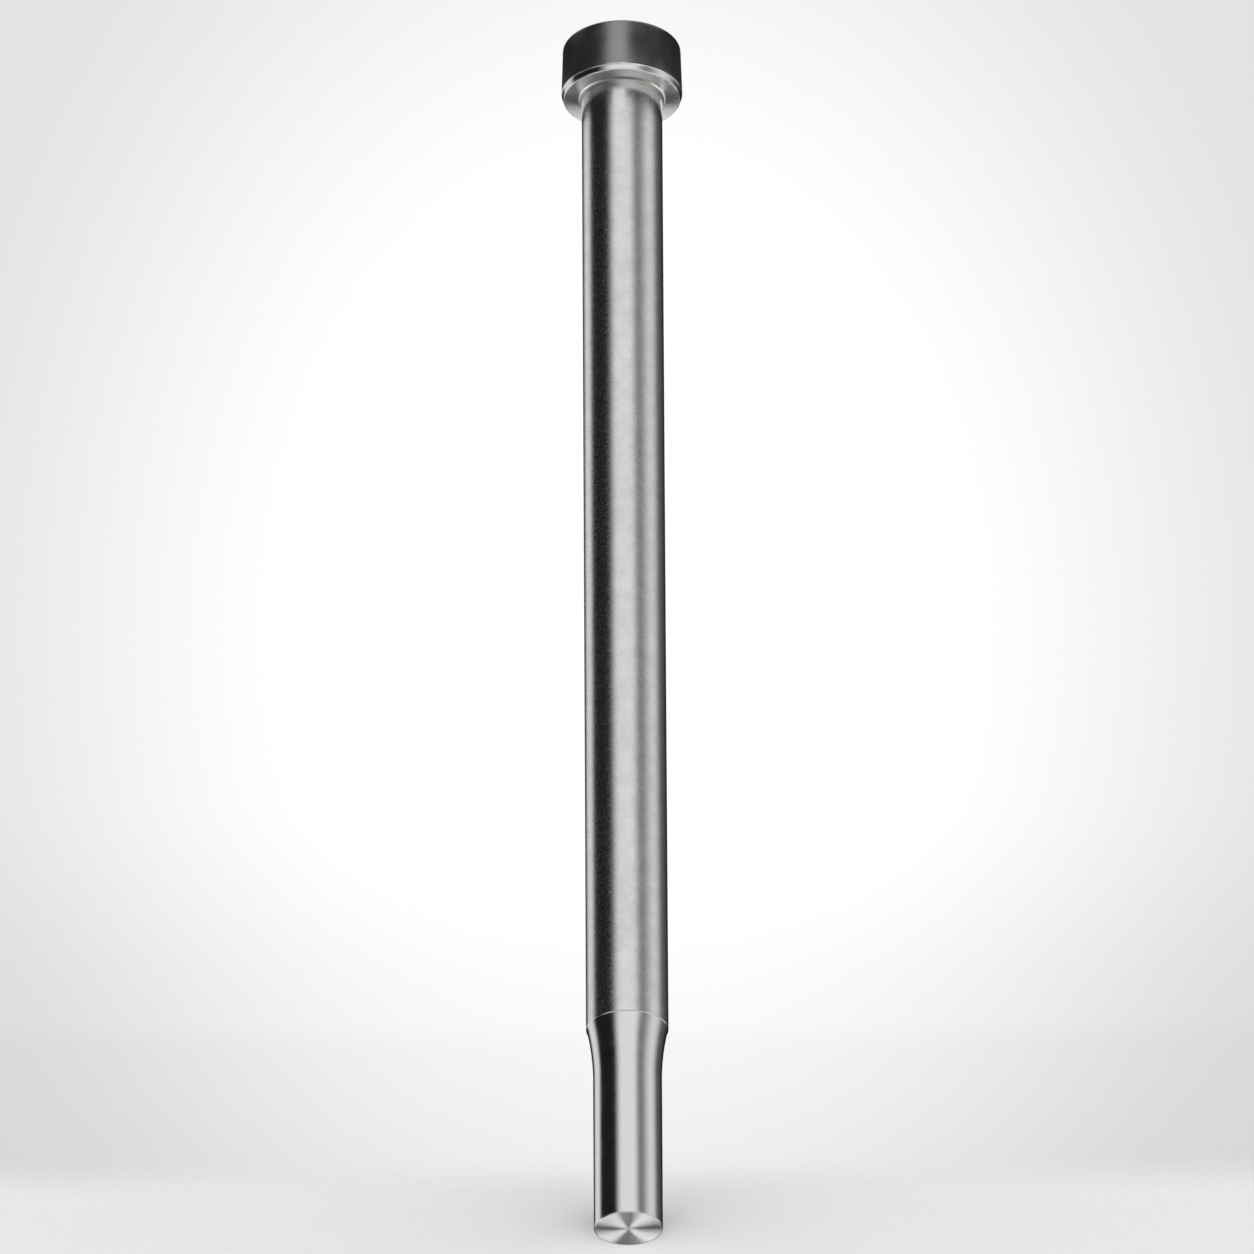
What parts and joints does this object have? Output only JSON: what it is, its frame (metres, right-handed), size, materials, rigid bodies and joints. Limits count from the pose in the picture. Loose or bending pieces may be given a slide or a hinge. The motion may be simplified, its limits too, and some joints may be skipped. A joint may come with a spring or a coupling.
{
  "type": "headed punch",
  "caption": "Round press-tool punch: ground steel bar with a radius blend to a smaller point, and a black cylindrical head collar brazed on",
  "frame": {"origin": "on the punch's axis, in the plane of the head's seating face, where the shank leaves the head", "axes": "+Z along the punch's axis, from the point towards the head; X and Y are free, because the part is round"},
  "size_m": [0.009, 0.009, 0.1],
  "materials": {
    "ground_steel": "ground satin on the shank, finer on the point, turned on the end face",
    "black_steel": "satin black heat skin on the side, bright turned bevel and seating face, ground top",
    "braze_alloy": "dull silver brazing alloy, smooth as it froze"
  },
  "bodies": {
    "root": {"punch_body": "ground_steel", "head_collar": "black_steel", "braze_joint": "braze_alloy"}
  },
  "joints": []
}
